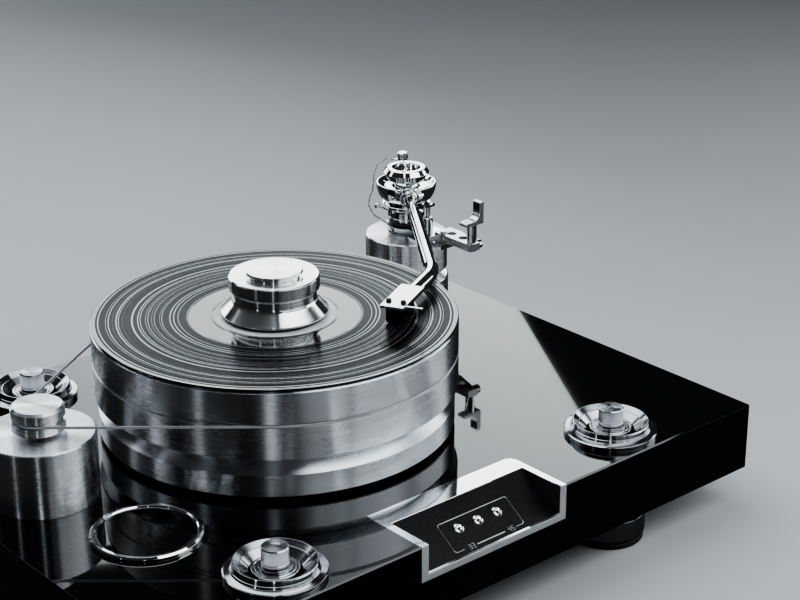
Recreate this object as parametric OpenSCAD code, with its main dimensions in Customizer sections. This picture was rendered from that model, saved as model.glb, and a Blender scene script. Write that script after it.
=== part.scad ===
// Belt-driven turntable with a twelve-inch tonearm, in millimetres.
// Origin: centre of the footprint on the table. +X right, +Y back, +Z up.
// Heights of what stands on the plinth are given above its deck.

/* [Plinth] */
// Width of the plinth from left to right
plinth_w = 606; // [604:1:620]
// Depth of the plinth from front to back
plinth_d = 462; // [462:1:480]
// Thickness of the plinth block
plinth_h = 60; // [58:1:62]
// Height of the deck above the table
deck_z = 95; // [94:1:97]
// Thickness of the plinth's side walls
wall = 18; // [14:1:20]

/* [Platter] */
// Radius of the upper platter
platter_r = 151.15; // [150.8:0.05:152]
// Radius of the lower platter
sub_platter_r = 148.3; // [146:0.1:149]
// Height of the platter's top above the deck
platter_top = 94.8; // [94:0.1:96]
// Radius of the record
record_r = 150.8; // [150:0.1:151]
// Radius of the record's label
label_r = 50; // [48:0.5:52]

/* [Clamp] */
// Radius of the clamp's upper disc
clamp_disc_r = 37.5; // [36:0.1:39]
// Radius of the clamp's foot
clamp_foot_r = 44.3; // [43:0.1:46]

/* [Motor] */
// Radius of the motor's round housing
motor_housing_r = 44; // [42:1:46]
// Radius of the pulley at its belt groove
pulley_groove_r = 19.2; // [18:0.1:20]

/* [Tonearm] */
// Height of the arm tube's axis above the deck
arm_z = 110; // [110:0.1:110.4]
// Distance from the pivot to the bend in the tube
elbow_x = 220.8; // [219:0.1:222]
// Angle that the tube turns through at its bend
bend_angle = 26.5; // [25:0.1:28]
// Heading of the straight part of the tube, stylus on the record
arm_heading = 234.7; // [233:0.1:236]
// Radius of the arm's round tower
tower_r = 39.2; // [38.5:0.1:40]

/* [Control panel] */
// Width of the panel's frame
bezel_w = 152; // [150:1:156]
// Radius of a push button
button_r = 4.7; // [4.5:0.1:4.9]

/* [Feet] */
// Radius of a foot's round flange on the deck
flange_r = 38.7; // [37:0.1:39]
// Radius of a levelling knob
knob_r = 10.4; // [9.5:0.1:11]

/* [Lead wire] */
// Thickness of the twisted lead-out wire
wire_d = 1.8; // [1.4:0.1:2]

/* [Hidden] */

$fn = 96;
run_gap = 0.05;              // radial clearance of a running shaft
plinth_z = deck_z - plinth_h;
edge = 1.2;                  // bright chamfer along the plinth's top edges
cavity_top = 22;             // thickness of the deck over the hollow
spindle = [-18, 11];
motor_at = [-236, 26];
pivot = [245.5, 149];
spare_at = [-212.5, -81];
feet = [[-174.6, -189.3], [174.6, -189.3], [-148, 189], [148, 189]];
foot_hole_r = 19.9;
plate_t = 4;
plate_edge = 8;              // how far the base plate is set back from the plinth's sides
screw_at = [[-285, -213], [0, -213], [285, -213], [-285, 213], [0, 213], [285, 213]];
socket_x = [150, 172, 194];
socket_z = 67;
inlet_x = -200;
bearing_r = 18;
groove = [64.9, 67.9];       // belt groove, lowest and highest height
groove_r = platter_r - 1.25;
belt_t = 0.9;
pulley_top = 77;
clamp_z = platter_top + 2.6; // underside of the clamp, clear of the label
teeth = 90;                  // round the clamp's rubber ring
bezel_x = 5;
bezel_back = -167.5;
bezel_floor = 64.4;
pocket_w = 138;
pocket_back = -188;
front = -plinth_d / 2;
bezel_lip = 70.15;           // height of the front lip's top
panel_low = [-227.9, 67.8];  // lower edge of the sloping panel, Y and Z
panel_high = [-188.1, 94];
panel_slope = atan2(panel_high[1] - panel_low[1], panel_high[0] - panel_low[0]);
button_along = 23;           // distance of the buttons up the slope
button_x = [-14.2, 6, 26.2];
tube_r = [5.5, 6.2];         // arm tube's outer radius at the pivot and at the bend
tube_bore = 4.7;
bend_r = 60;
bend_run = bend_r * tan(bend_angle / 2);
bend_swell = 0.05;
bend_lap = 1.5;
boss_r = 7;
boss_end = 32;               // end of the tube's boss, from the pivot
shell = [47.2, 97.2];        // headshell's back and front edge, from the bend
shell_w = 20.3;
shell_top = arm_z + 6;
shell_t = 2.2;
tilt_axis_z = 110;
pin_r = 1.5;                 // pins on the axis that the arm tilts about
lift_r = [33, 37];           // inner and outer radius of the curved lift bar
lift_at = [-3.05, -34.87];   // lift rod, from the arm's pivot
post_at = [5, -86.5];        // arm rest post, from the arm's pivot
weight_x = 34;               // counterweight's front face, behind the pivot
weight_z = 99;               // it hangs below the tube's axis
stub_z = 107;
wire_heading = 139;
knob_lean = 3.3;             // how far the top knob stands off the pivot's axis
// The wire's way down from the arm's top to its tower: distance from the pivot, height
wire_fall = [[11.1, 139], [15, 139.4], [19, 139], [23, 137], [26, 134.6], [28, 131.6], [29.4, 128],
             [30.4, 124], [31, 120], [31.2, 116], [31.6, 112], [32.4, 108], [33.6, 104],
             [35, 100], [35.8, 96], [35.4, 92], [33.8, 88], [31.4, 84], [28, 81], [24.4, 78.6],
             [21, 76.4], [18, 74], [15.6, 71.4], [14, 68.8], [13.5, 66]];

function arc(centre, r, from, to, steps) =
    [for (i = [0:steps]) let (a = from + (to - from) * i / steps) centre + r * [cos(a), sin(a)]];

module on_deck(at) translate([at[0], at[1], deck_z]) children();
module lathe(outline) rotate_extrude() polygon(outline);
module each_foot() for (at = feet) on_deck(at) children();
// The arm's own frame: X runs out along the straight tube from the pivot
module arm_frame() on_deck(pivot) rotate([0, 0, arm_heading]) children();
module head_frame() arm_frame() translate([elbow_x, 0, 0]) rotate([0, 0, -bend_angle]) children();
module rod(from, to, z, r) translate([from, 0, z]) rotate([0, 90, 0]) cylinder(h = to - from, r = r);
// The panel's own frame: X right, Y up the slope, Z out of the face
module panel_frame()
    translate([0, panel_low[0], panel_low[1]]) rotate([panel_slope, 0, 0]) children();
module extrude_x(from, to) translate([from, 0, 0]) rotate([90, 0, 90]) linear_extrude(to - from) children();

// ---- Plinth ----

module block_profile(width)
    polygon([[-width / 2, plinth_z], [width / 2, plinth_z], [width / 2, deck_z - edge],
             [width / 2 - edge, deck_z], [-width / 2 + edge, deck_z], [-width / 2, deck_z - edge]]);

module plinth_block() intersection() {
    extrude_x(-plinth_w / 2, plinth_w / 2) block_profile(plinth_d);
    translate([0, plinth_d / 2, 0]) rotate([90, 0, 0]) linear_extrude(plinth_d) block_profile(plinth_w);
}

module bezel_outline() {
    x0 = bezel_x - bezel_w / 2;
    x1 = bezel_x + bezel_w / 2;
    polygon(concat([[x0, front], [x1, front]], arc([x1 - 8, bezel_back - 8], 8, 0, 90, 8),
                   arc([x0 + 1.5, bezel_back - 1.5], 1.5, 90, 180, 3)));
}

module rear_pocket(x, width) translate([x - width / 2, plinth_d / 2 - 8, socket_z - 11])
    cube([width, 9, 22]);

module plinth() color("#0b0b0d") difference() {
    plinth_block();
    translate([wall - plinth_w / 2, wall - plinth_d / 2, plinth_z - 1])
        cube([plinth_w - 2 * wall, plinth_d - 2 * wall, plinth_h - cavity_top + 1]);
    translate([0, 0, bezel_floor]) linear_extrude(plinth_h) bezel_outline();
    on_deck(spindle) translate([0, 0, -30]) cylinder(h = 40, r = bearing_r);
    for (at = [motor_at, pivot]) on_deck(at) translate([0, 0, -30]) cylinder(h = 40, r = 6);
    each_foot() translate([0, 0, -30]) cylinder(h = 40, r = foot_hole_r);
    rear_pocket(172, 76);
    rear_pocket(inlet_x, 30);
    for (x = concat(socket_x, [inlet_x]))
        translate([x, 240, socket_z]) rotate([90, 0, 0]) cylinder(h = 40, r = 4.2);
}

module base_plate() color("#1c1c1e") difference() {
    translate([plate_edge - plinth_w / 2, plate_edge - plinth_d / 2, plinth_z - plate_t])
        cube([plinth_w - 2 * plate_edge, plinth_d - 2 * plate_edge, plate_t]);
    each_foot() translate([0, 0, -80]) cylinder(h = 40, r = foot_hole_r);
    for (at = screw_at) translate([at[0], at[1], 0]) cylinder(h = deck_z, r = 2.1);
}

module base_screws() color("silver") for (at = screw_at) translate([at[0], at[1], plinth_z - plate_t]) {
    cylinder(h = plate_t, r = 2.1);
    translate([0, 0, -2]) cylinder(h = 2, r = 4);
}

// ---- Rear sockets and boards ----

module signal_sockets() color("#d9b45a") for (x = socket_x)
    translate([x, 230, socket_z]) rotate([90, 0, 0]) difference() {
        union() {
            cylinder(h = 22, r = 4.2);
            translate([0, 0, 5.2]) cylinder(h = 1.8, r = 7);
        }
        translate([0, 0, -1]) cylinder(h = 9, r = 1.7);
    }

module power_inlet() color("#222222") translate([inlet_x, 230, socket_z]) rotate([90, 0, 0]) difference() {
    union() {
        cylinder(h = 22, r = 4.2);
        translate([0, 0, 5.2]) cylinder(h = 1.8, r = 8);
    }
    translate([0, 0, -1]) cylinder(h = 10, r = 2.8);
}

// ---- Control panel ----

module panel_bezel() color("silver") union() {
    difference() {
        translate([0, 0, bezel_floor]) linear_extrude(deck_z - bezel_floor) bezel_outline();
        translate([bezel_x - pocket_w / 2, front + 3, 0])
            cube([pocket_w, pocket_back - front - 3, 2 * deck_z]);
        translate([bezel_x - pocket_w / 2, front - 1, bezel_lip]) cube([pocket_w, 5, deck_z]);
    }
    for (x = [bezel_x - pocket_w / 2, bezel_x + pocket_w / 2 - 3])
        extrude_x(x, x + 3)
            polygon([[-212, 75.6], [pocket_back, 91.4], [pocket_back, 88.4], [-212, 72.6]]);
}

module control_panel() color("#141416") difference() {
    extrude_x(bezel_x - pocket_w / 2 + 0.1, bezel_x + pocket_w / 2 - 0.1)
        polygon([panel_low, panel_high, panel_high - [0, 2.6], panel_low - [0, 2.6]]);
    for (x = button_x) panel_frame() translate([x, button_along, -8]) cylinder(h = 12, r = button_r + 0.2);
}

module control_board() color("#1f5d3a") panel_frame() {
    translate([-40, 12, -12.8]) cube([92, 24, 1.6]);
    for (x = button_x) translate([x - 3, button_along - 3, -11.2]) cube([6, 6, 3.5]);
}

module push_button(x) color("silver") panel_frame() translate([x, button_along, 0])
    lathe([[0, -6.2], [1.6, -6.2], [1.6, -3.6], [6, -3.6], [6, -2.6], [button_r, -2.6],
           [button_r, 0.9], [button_r - 0.4, 1.8], [button_r - 1.2, 2.4], [button_r - 2.1, 2.6],
           [button_r - 3, 2.4], [1, 2], [0, 1.8]]);
module button_left() push_button(button_x[0]);
module button_middle() push_button(button_x[1]);
module button_right() push_button(button_x[2]);

// ---- Feet ----

module foot_flanges() color("silver") each_foot()
    lathe([[foot_hole_r, 0], [flange_r, 0], [flange_r, 3.7], [33.2, 5.4], [31.9, 10.6],
           [31.4, 11.7], [30.6, 11.7], [foot_hole_r, 3]]);

module foot_legs() color("gray") each_foot() {
    bottom = 6 - deck_z;
    lathe([[0, bottom], [30, bottom], [32, bottom + 2], [32, bottom + 19], [31, bottom + 20],
           [17.9, bottom + 20], [17.9, 5.4], [17.5, 5.8], [12.2, 5.8], [12.2, 7.5], [5, 7.5],
           [5, -17], [0, -17]]);
}

// A levelling knob and its shaft, which runs down into the leg
module knob(at) color("silver") on_deck(at)
    lathe([[0, -15], [5 - run_gap, -15], [5 - run_gap, 7.8], [knob_r, 7.8], [knob_r, 22],
           [knob_r - 0.8, 22.8], [0, 22.8]]);
module knob_front_left() knob(feet[0]);
module knob_front_right() knob(feet[1]);
module knob_rear_left() knob(feet[2]);
module knob_rear_right() knob(feet[3]);

module foot_isolators() color("#161616") each_foot() translate([0, 0, 26 - deck_z])
    lathe([[18.2, 0], [28, 0], [28, 5], [18.2, 5]]);

module foot_pads() color("#161616") each_foot() translate([0, 0, -deck_z])
    lathe([[0, 0], [30, 0], [31, 1], [31, 6], [0, 6]]);

// ---- Spare arm mount ----

module spare_mount_cover() color("silver") on_deck(spare_at)
    lathe([[0, 0], [43, 0], [43, 2.6], [41.5, 4], [39, 4], [38, 3], [0, 3]]);

// ---- Main bearing, platter, record ----

module main_bearing_housing() color("#b08d3c") on_deck(spindle)
    lathe([[0, -55], [bearing_r, -55], [bearing_r, 0], [34, 0], [34, 3], [30, 3.6], [8 + run_gap, 3.6],
           [8 + run_gap, -49], [0, -49]]);

module thrust_ball() color("white") on_deck(spindle) translate([0, 0, -45]) sphere(r = 4);

module bearing_spindle() color("silver") on_deck(spindle)
    lathe([[0, -40.9], [6, -40.9], [8, -39], [8, 60], [3.575, 60], [3.575, 111], [2.6, 112], [0, 112]]);

module lower_platter() color("#c9ccd0") on_deck(spindle)
    lathe([[8, 4.4], [sub_platter_r - 1, 4.4], [sub_platter_r, 5.4], [sub_platter_r, 23.3],
           [sub_platter_r - 12.5, 35.8], [134, 35.8], [134, 37.4], [8, 37.4]]);

module upper_platter() color("#c9ccd0") on_deck(spindle)
    lathe([[8, 37.4], [platter_r - 1, 37.4], [platter_r, 38.4], [platter_r, groove[0]],
           [groove_r, groove[0]], [groove_r, groove[1]], [platter_r, groove[1]],
           [platter_r, platter_top - 1.5], [platter_r - 1.5, platter_top],
           [3.6, platter_top], [3.6, 60], [8, 60]]);

module record() color("#101010") on_deck(spindle) translate([0, 0, platter_top])
    lathe([[3.63, 0], [record_r - 0.4, 0], [record_r, 0.5], [record_r, 2], [record_r - 0.5, 2.3],
           [record_r - 1.8, 2.3], [record_r - 3.3, 2], [71, 2], [70.5, 1.8], [label_r + 1, 1.8],
           [label_r + 0.5, 2.1], [3.63, 2.1]]);

module record_label() color("#c8c8c8") on_deck(spindle) translate([0, 0, platter_top + 2.1])
    lathe([[3.63, 0], [label_r, 0], [label_r, 0.15], [3.63, 0.15]]);

// ---- Record clamp ----

module clamp_grip_ring() color("#181818") on_deck(spindle) translate([0, 0, clamp_z]) difference() {
    linear_extrude(2.6) polygon([for (i = [0:2 * teeth - 1])
        let (a = i * 180 / teeth, r = clamp_foot_r - (i % 2 == 0 ? 1.8 : 2.8)) r * [cos(a), sin(a)]]);
    translate([0, 0, -1]) cylinder(h = 5, r = 30);
}

module clamp_base() color("silver") on_deck(spindle) translate([0, 0, clamp_z])
    lathe([[3.65, 0], [30, 0], [30, 2.6], [clamp_foot_r - 0.5, 2.6], [clamp_foot_r, 3.1],
           [clamp_foot_r, 3.9], [clamp_foot_r - 3, 6], [38, 8.8], [36, 11.2], [34.9, 14],
           [34.9, 21.5], [3.65, 21.5]]);

module clamp_top() color("silver") on_deck(spindle) translate([0, 0, clamp_z])
    lathe([[3.65, 21.5], [35, 21.5], [clamp_disc_r, 24], [clamp_disc_r, 33.5], [clamp_disc_r - 1, 34.5],
           [0, 34.5], [0, 30.6], [3.65, 30.6]]);

module clamp_button() color("silver") on_deck(spindle) translate([0, 0, clamp_z + 34.5])
    lathe([[0, 0], [21, 0], [21, 2.2], [24, 2.2], [24, 4.3], [23.6, 4.7], [0, 4.7]]);

// ---- Motor, pulley and belt ----

module motor_housing() color("#c9ccd0") on_deck(motor_at)
    lathe([[motor_housing_r - 4, 0], [motor_housing_r, 0], [motor_housing_r, 53],
           [motor_housing_r - 1, 54], [8.5, 54], [8.5, 50], [motor_housing_r - 4, 50]]);

module motor() color("#333333") on_deck(motor_at)
    lathe([[2 + run_gap, 0], [37, 0], [37, 4], [30, 4], [30, 44], [8, 44], [8, 48], [2 + run_gap, 48]]);

// Pulley and the motor shaft that it is pressed on
module pulley() color("silver") on_deck(motor_at)
    lathe([[0, 1], [2, 1], [2, 57], [21, 57], [21, groove[0] - 0.5], [pulley_groove_r, groove[0]],
           [pulley_groove_r, groove[1]], [21, groove[1] + 0.5], [21, pulley_top - 2],
           [19, pulley_top], [0, pulley_top]]);

// Outline of a belt around both wheels, standing off their grooves by gap
function belt_outline(gap) =
    let (span = motor_at - spindle, base = atan2(span[1], span[0]),
         open = acos((groove_r - pulley_groove_r) / norm(span)))
    concat(arc(spindle, groove_r + gap, base + open, base + 360 - open, 100),
           arc(motor_at, pulley_groove_r + gap, base - open, base + open, 20));

module drive_belt() color("#b9bcc0") translate([0, 0, deck_z + groove[0] + 0.5]) linear_extrude(2)
    difference() {
        polygon(belt_outline(0.3 + belt_t));
        polygon(belt_outline(0.3));
    }

// ---- Tonearm: base and tower ----

module arm_base_disc() color("#e4e4e4") on_deck(pivot)
    lathe([[6, 0], [40.5, 0], [40.5, 23.5], [39.5, 24.5], [6, 24.5]]);

module arm_neck() color("#9a9ca0") on_deck(pivot) lathe([[6, 24.5], [30, 24.5], [30, 32], [6, 32]]);

module arm_tower() color("#c9ccd0") on_deck(pivot)
    lathe([[6, 32], [tower_r - 0.6, 32], [tower_r, 32.6], [tower_r, 65.2], [tower_r - 0.8, 66], [6, 66]]);

module arm_mount_bar() color("silver") on_deck(pivot) difference() {
    union() {
        translate([-9.5, -60, 66]) cube([24.5, 76, 5]);
        translate([-9.5, -43, 71]) cube([24.5, 59, 3]);
    }
    cylinder(h = 100, r = 4.2);
    for (y = [-51, -28, -20]) translate([2, y, 60]) cylinder(h = 20, r = 1.8);
}

// Screws of the mount bar and the rest bracket (place, lowest height, length), and the post's clamp knob
module arm_screws() color("silver") on_deck(pivot) {
    for (screw = [[2, -28, 66, 8], [2, -20, 66, 8], [2, -51, 66, 12]])
        translate([screw[0], screw[1], screw[2]]) {
            cylinder(h = screw[3], r = 1.8);
            translate([0, 0, screw[3]]) cylinder(h = 2.2, r = 3);
        }
    translate([post_at[0] + 4.6, post_at[1], 74.5]) rotate([0, 90, 0]) {
        cylinder(h = 1.8, r = 1.8);
        translate([0, 0, 1.7]) cylinder(h = 4.3, r = 4.2);
    }
}

module arm_collar_ring() color("#161616") on_deck(pivot)
    lathe([[13.5, 74], [16.6, 74], [16.6, 77.4], [16, 78], [13.5, 78]]);

module arm_pillar() color("#55585c") on_deck(pivot)
    lathe([[4 + run_gap, 74], [13.5, 74], [13.5, 80], [16.6, 80], [16.6, 83], [13.5, 83], [13.5, 91.2],
           [18.8, 91.2], [18.8, 92.2], [4 + run_gap, 92.2]]);

module rest_bracket() color("silver") on_deck(pivot) difference() {
    translate([0, 0, 71]) linear_extrude(7)
        polygon([[-2, -43], [18, -43], [18, -60], [10.5, -84], [10.5, -92], [-2, -92]]);
    for (y = [-57, -72.8]) translate([7, y, 60]) cylinder(h = 30, r = 4.4);
    translate([post_at[0], post_at[1], 60]) cylinder(h = 30, r = 4.6);
    translate([-3, -80, 72.5]) cube([3, 26, 4]);
    translate([2, -51, 60]) cylinder(h = 30, r = 1.8);
    translate([8, post_at[1], 74.5]) rotate([0, 90, 0]) cylinder(h = 4, r = 1.8);
}

module rest_post() color("silver") on_deck(pivot) translate([post_at[0], post_at[1], 0])
    lathe([[0, 70], [4.6, 70], [4.6, 95.6], [0, 95.6]]);

module rest_cradle() color("silver") on_deck(pivot) translate([post_at[0], post_at[1], 95.6])
    translate([0, 4.75, 0]) rotate([90, 0, 0]) linear_extrude(9.5)
        polygon(concat([[-11.4, 1], [-10.4, 0], [10, 0], [10.8, 0.8], [10.8, 20.5], [9.8, 21.5], [6.4, 21.5],
                        [5.6, 20.7], [5.6, 12]], arc([-2.4, 12], 8, 0, -90, 8), [[-10.4, 4], [-11.4, 3]]));

module cue_dashpot() color("silver") on_deck(pivot) translate([lift_at[0], lift_at[1], 0])
    lathe([[2 + run_gap, 74], [4.4, 74], [4.4, 90], [3.8, 90.6], [2 + run_gap, 90.6]]);

// ---- Tonearm: moving pieces ----

module cue_lift() color("silver") on_deck(pivot) {
    translate([lift_at[0], lift_at[1], 74.5]) cylinder(h = 26.5, r = 2);
    translate([0, 0, 101]) rotate([0, 0, 224]) rotate_extrude(angle = 52) translate([lift_r[0], 0])
        square([lift_r[1] - lift_r[0], 2.5]);
}

module cue_lever() color("silver") on_deck(pivot) difference() {
    union() {
        lathe([[13.5 + run_gap, 84], [17.5, 84], [17.5, 89], [13.5 + run_gap, 89]]);
        rotate([0, 0, 135.7]) translate([16.5, 0, 86.5]) rotate([0, 65, 0]) cylinder(h = 12, r = 1.1);
        rotate([0, 0, 135.7]) translate([27.6, 0, 91.6]) sphere(r = 3);
    }
    cylinder(h = 120, r = 13.5 + run_gap);
}

module arm_block() color("silver") difference() {
    arm_frame() lathe([[0, 75], [4, 75], [4, 92.6], [9, 92.6], [9, 96], [20, 96], [20.5, 96.4],
                       [20.5, 97], [11.5, 97], [11.5, 120.3], [0, 120.3]]);
    arm_frame() translate([0, 20, tilt_axis_z]) rotate([90, 0, 0]) cylinder(h = 40, r = pin_r + run_gap);
}

module bearing_cap() color("silver") on_deck(pivot)
    lathe([[4, 120.3], [18.8, 120.3], [18.8, 126.2], [21.8, 126.6], [21.8, 127.2], [18.7, 131.2], [18, 131.6],
           [13.8, 131.6], [13.4, 131.2], [13.4, 122.6], [4, 122.6]]);

// The slanting needle in the cap, the knob on it and the clip of the lead wire
module pivot_needle() color("#8a8d92") on_deck(pivot) rotate([0, 0, wire_heading]) {
    lathe([[0, 120.3], [4, 120.3], [4, 127], [1.6, 129.4], [0, 129.4]]);
    translate([0, 0, 128]) rotate([0, atan2(knob_lean, 12), 0]) cylinder(h = 12, r = 1.1);
    translate([knob_lean, 0, 0])
        lathe([[0, 138.7], [4.4, 138.7], [5.2, 139.4], [5.2, 145.4], [4.6, 146], [0, 146]]);
    translate([6.5, -1.6, 137.4]) cube([4.5, 3.2, 3.2]);
}

module bowl_outer() lathe([[0, 98.4], [17.5, 98.4], [20.2, 99.2], [22.8, 101], [24.8, 103.4], [26.4, 106.4],
                           [27.6, 110], [28.4, 113.6], [28.8, 117.3], [0, 117.3]]);

module bearing_bowl() color("silver") arm_frame() difference() {
    lathe([[13.2, 98.4], [17.5, 98.4], [20.2, 99.2], [22.8, 101], [24.8, 103.4], [26.4, 106.4],
           [27.6, 110], [28.4, 113.6], [28.8, 116.8], [28.3, 117.3], [27, 117.3], [26, 116.4],
           [23.6, 114.4], [20, 113.2], [13.2, 113]]);
    translate([0, 40, tilt_axis_z]) rotate([90, 0, 0]) cylinder(h = 80, r = pin_r + 0.02);
    rod(22, 40, arm_z, boss_r);
}

// The pins that the arm tilts on and the stub that its counterweight slides on
module pivot_pins() color("#8a8d92") arm_frame() {
    for (side = [0, 180])
        rotate([0, 0, side]) translate([0, 9, tilt_axis_z]) rotate([-90, 0, 0]) cylinder(h = 18, r = pin_r);
    rotate([0, 0, 180]) difference() {
        rod(24, weight_x + 24, stub_z, 4);
        bowl_outer();
    }
}

module tube_length(from, to, r1, r2) translate([from, 0, arm_z]) rotate([0, 90, 0]) difference() {
    cylinder(h = to - from, r1 = r1, r2 = r2);
    translate([0, 0, -1]) cylinder(h = to - from + 2, r = tube_bore);
}

// The bend is a hair thicker than the straight lengths, which run a little way into it
module tube_bend() translate([elbow_x - bend_run, -bend_r, arm_z]) rotate([0, 0, 90 - bend_angle])
    rotate_extrude(angle = bend_angle) translate([bend_r, 0]) difference() {
        circle(r = tube_r[1] + bend_swell);
        circle(r = tube_bore - bend_swell);
    }

module arm_tube() color("silver") {
    arm_frame() rod(22, boss_end + 0.5, arm_z, boss_r);
    arm_frame() tube_length(boss_end, elbow_x - bend_run + bend_lap, tube_r[0], tube_r[1]);
    arm_frame() tube_bend();
    difference() {
        head_frame() tube_length(bend_run - bend_lap, shell[0] + 9, tube_r[1], tube_r[1]);
        head_frame() translate([shell[0], -10, shell_top - shell_t]) cube([20, 20, 5]);
    }
}

module headshell() color("silver") head_frame() difference() {
    union() {
        translate([shell[0], -shell_w / 2, shell_top - shell_t]) cube([shell[1] - shell[0], shell_w, shell_t]);
        translate([shell[1] - 7.5, shell_w / 2, shell_top - 1.9]) cube([2.2, 14.5, 1.5]);
    }
    for (y = [-6.35, 6.35]) translate([shell[1] - 11, y, arm_z]) cylinder(h = 20, r = 1.25);
}

module cartridge_screws() color("#222222") head_frame() for (y = [-6.35, 6.35])
    translate([shell[1] - 11, y, shell_top - shell_t - 4]) {
        cylinder(h = 4 + shell_t, r = 1.25);
        translate([0, 0, 4 + shell_t]) cylinder(h = 1.9, r = 2.3);
    }

module cartridge() color("#121214") head_frame() {
    top = shell_top - shell_t;
    difference() {
        translate([66, -8, 98.3]) cube([22.6, 16, top - 98.3]);
        translate([72, -2.2, 97]) cube([14, 4.4, 4.6]);
        for (y = [-6.35, 6.35]) translate([shell[1] - 11, y, top - 4]) cylinder(h = 5, r = 1.25);
    }
    for (y = [-5.4, -1.8, 1.8, 5.4]) rod(61.5, 66, 107, 0.6);
}

module stylus() color("#8a8d92") head_frame() translate([73.5, 0, 101.1]) rotate([0, 105, 0])
    cylinder(h = 11.4, r = 0.4);

module counterweight() color("silver") arm_frame() rotate([0, 0, 180]) difference() {
    translate([weight_x, 0, weight_z]) rotate([0, 90, 0])
        lathe([[0, 0], [15.2, 0], [16, 0.8], [16, 21.2], [15.2, 22], [0, 22]]);
    rod(weight_x - 1, weight_x + 30, stub_z, 4 + run_gap);
}

// ---- Lead wire ----

// One ring of eight points across the wire at point i of its route
function wire_ring(i, route) =
    let (last = len(route) - 1,
         way = route[min(i + 1, last)] - route[max(i - 1, 0)], along = way / norm(way),
         across = [sin(wire_heading), -cos(wire_heading), 0], up = cross(across, along))
    [for (k = [0:7]) route[i] + wire_d / 2 * (cos(45 * k) * across + sin(45 * k) * up)];

module lead_wire() color("#d8d0d8") {
    route = [for (p = wire_fall) [pivot[0] + p[0] * cos(wire_heading), pivot[1] + p[0] * sin(wire_heading),
                                  deck_z + p[1]]];
    rings = len(route);
    polyhedron(points = [for (i = [0:rings - 1]) each wire_ring(i, route)],
               faces = concat([[for (k = [0:7]) k]],
                              [for (i = [0:rings - 2], k = [0:7]) let (a = 8 * i + k, b = 8 * i + (k + 1) % 8)
                                  [a, a + 8, b + 8, b]],
                              [[for (k = [7:-1:0]) 8 * (rings - 1) + k]]));
}

plinth();
base_plate();
base_screws();
panel_bezel();
control_panel();
control_board();
signal_sockets();
power_inlet();
foot_flanges();
foot_legs();
foot_isolators();
foot_pads();
knob_front_left();
knob_front_right();
knob_rear_left();
knob_rear_right();
spare_mount_cover();
main_bearing_housing();
thrust_ball();
motor_housing();
motor();
drive_belt();
arm_base_disc();
arm_neck();
arm_tower();
arm_mount_bar();
arm_collar_ring();
arm_pillar();
arm_screws();
rest_bracket();
rest_post();
rest_cradle();
cue_dashpot();
bearing_spindle();
lower_platter();
upper_platter();
record();
record_label();
clamp_grip_ring();
clamp_base();
clamp_top();
clamp_button();
pulley();
arm_block();
bearing_cap();
pivot_needle();
bearing_bowl();
pivot_pins();
arm_tube();
headshell();
cartridge();
cartridge_screws();
stylus();
counterweight();
cue_lever();
cue_lift();
button_left();
button_middle();
button_right();
lead_wire();
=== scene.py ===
"""Looks of the turntable: camera, lead wire, materials, turned and milled pieces, studio light."""
import math

import bmesh
import bpy
from mathutils import Matrix, Vector


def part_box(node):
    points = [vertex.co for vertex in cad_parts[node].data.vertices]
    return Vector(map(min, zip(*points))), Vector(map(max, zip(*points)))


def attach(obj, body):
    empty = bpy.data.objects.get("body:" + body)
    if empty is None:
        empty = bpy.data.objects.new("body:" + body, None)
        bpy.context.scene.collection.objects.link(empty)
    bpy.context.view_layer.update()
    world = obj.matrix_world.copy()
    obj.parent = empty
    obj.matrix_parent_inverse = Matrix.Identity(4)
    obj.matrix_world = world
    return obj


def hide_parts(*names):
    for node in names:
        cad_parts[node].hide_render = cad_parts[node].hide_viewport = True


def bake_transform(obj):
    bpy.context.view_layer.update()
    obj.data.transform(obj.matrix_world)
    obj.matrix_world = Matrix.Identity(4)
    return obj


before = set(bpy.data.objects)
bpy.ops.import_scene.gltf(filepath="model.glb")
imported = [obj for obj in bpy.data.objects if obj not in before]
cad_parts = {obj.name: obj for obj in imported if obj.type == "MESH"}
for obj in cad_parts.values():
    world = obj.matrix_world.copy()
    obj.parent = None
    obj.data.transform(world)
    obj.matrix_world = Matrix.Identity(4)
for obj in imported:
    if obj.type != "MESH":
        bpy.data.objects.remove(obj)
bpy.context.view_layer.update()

MM = 0.001
scene = bpy.context.scene


def box_centre(node):
    """Centre of a CAD node's box."""
    low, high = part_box(node)
    return (low + high) / 2


# Places in metres from the CAD boxes; sizes and heights above the deck in millimetres
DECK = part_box("plinth")[1].z
SPINDLE = box_centre("upper_platter").xy
MOTOR = box_centre("motor_housing").xy
PIVOT = box_centre("arm_pillar").xy
SPARE = box_centre("spare_mount_cover").xy
KNOBS = ["knob_front_left", "knob_front_right", "knob_rear_left", "knob_rear_right"]
FEET = [box_centre(knob).xy for knob in KNOBS]
PLATTER_R = (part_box("upper_platter")[1].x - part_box("upper_platter")[0].x) / 2 / MM
ARM_HEADING = math.radians(234.7)
BEND = math.radians(26.5)
ELBOW = 220.8
ARM_Z = 110.0

# ---------------------------------------------------------------- camera

CAMERA_AT = Vector((-0.8952, -1.1601, 0.8002))
CAMERA_AZIMUTH = math.radians(40.86)
CAMERA_ELEVATION = math.radians(22.25)
CAMERA_ROLL = math.radians(-0.19)
SENSOR_MM = 36
LENS_MM = 86.52
VIEW_END = 50


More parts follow.
